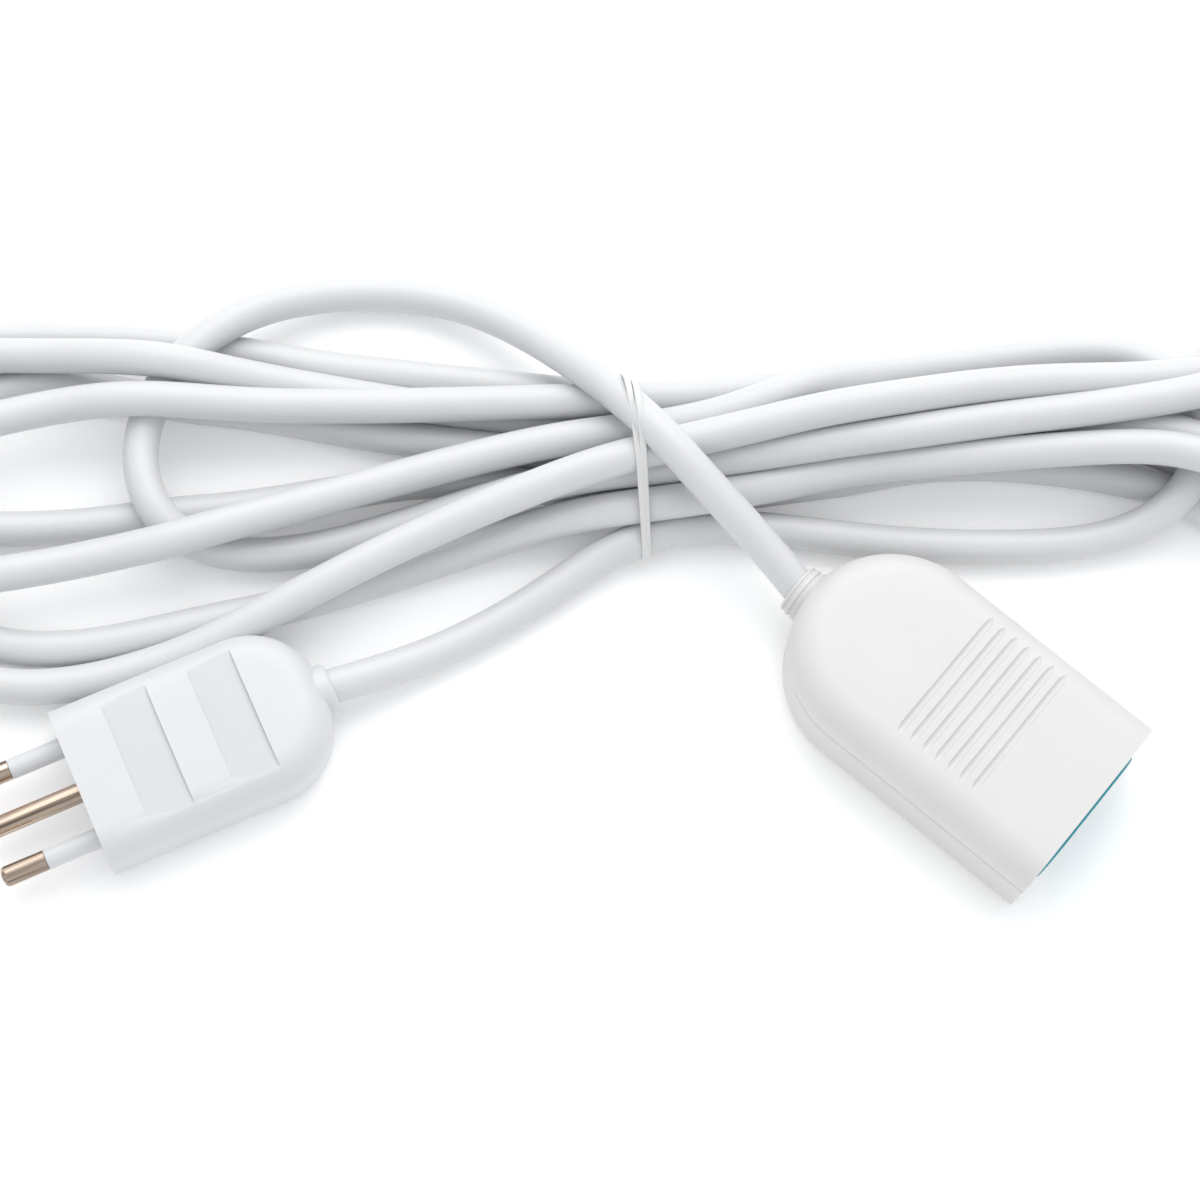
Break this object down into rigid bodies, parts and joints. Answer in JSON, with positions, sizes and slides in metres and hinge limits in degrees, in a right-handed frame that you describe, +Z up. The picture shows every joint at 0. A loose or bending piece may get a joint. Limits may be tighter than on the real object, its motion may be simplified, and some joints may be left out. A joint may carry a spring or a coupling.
{
  "type": "extension cord",
  "caption": "White two-shell socket with three in-line round holes behind a turquoise face, and a lead folded into a tied hank that ends in a moulded plug with three in-line round pins.",
  "frame": {"origin": "on the floor under the middle of the socket, from the end of its cord collar to its face", "axes": "+X out of the socket's mouth, +Z up; the hank lies behind the socket, turned 40 degrees about +Z, and the plug's pins point down-left of it"},
  "size_m": [0.2731, 0.2719, 0.0245],
  "materials": {
    "shell_white": "satin moulded white",
    "plug_white": "semi-gloss soft white PVC",
    "face_teal": "satin turquoise",
    "inner_plastic": "natural moulded",
    "cord_white": "semi-gloss PVC sheath",
    "tie_white": "white elastic band",
    "nickel_brass": "nickel-plated, polished",
    "brass": "plain",
    "screw_steel": "zinc plated",
    "spring_steel": "bright wire",
    "core_brown": "brown core insulation",
    "core_earth": "green and yellow core insulation",
    "core_blue": "blue core insulation"
  },
  "bodies": {
    "cord_set": {"socket_lower_shell": "shell_white", "socket_upper_shell": "shell_white", "socket_face": "face_teal", "shutter_springs": "spring_steel", "contact_carrier": "inner_plastic", "line_contact": "brass", "earth_contact": "brass", "neutral_contact": "brass", "terminal_screws": "screw_steel", "cord_clamp": "inner_plastic", "clamp_screws": "screw_steel", "housing_screws": "screw_steel", "socket_collar": "shell_white", "socket_line_core": "core_brown", "socket_earth_core": "core_earth", "socket_neutral_core": "core_blue", "socket_lead": "cord_white", "cord_hank": "cord_white", "hank_tie": "tie_white", "plug_lead": "cord_white", "plug_body": "plug_white", "plug_collar": "plug_white", "pin_carrier": "inner_plastic", "line_pin": "nickel_brass", "earth_pin": "nickel_brass", "neutral_pin": "nickel_brass", "line_pin_sleeve": "plug_white", "neutral_pin_sleeve": "plug_white", "pin_crimps": "brass", "plug_line_core": "core_brown", "plug_earth_core": "core_earth", "plug_neutral_core": "core_blue"},
    "shutter": {"safety_shutter": "inner_plastic"}
  },
  "joints": [
    {"name": "shutter_slide", "type": "slide", "parent": "cord_set", "child": "shutter", "axis": [0, 0, -1], "range_m": [0, 0.0048], "stiffness_N_per_m": 120, "springref_m": -0.003, "deforming": ["shutter_springs"]}
  ]
}
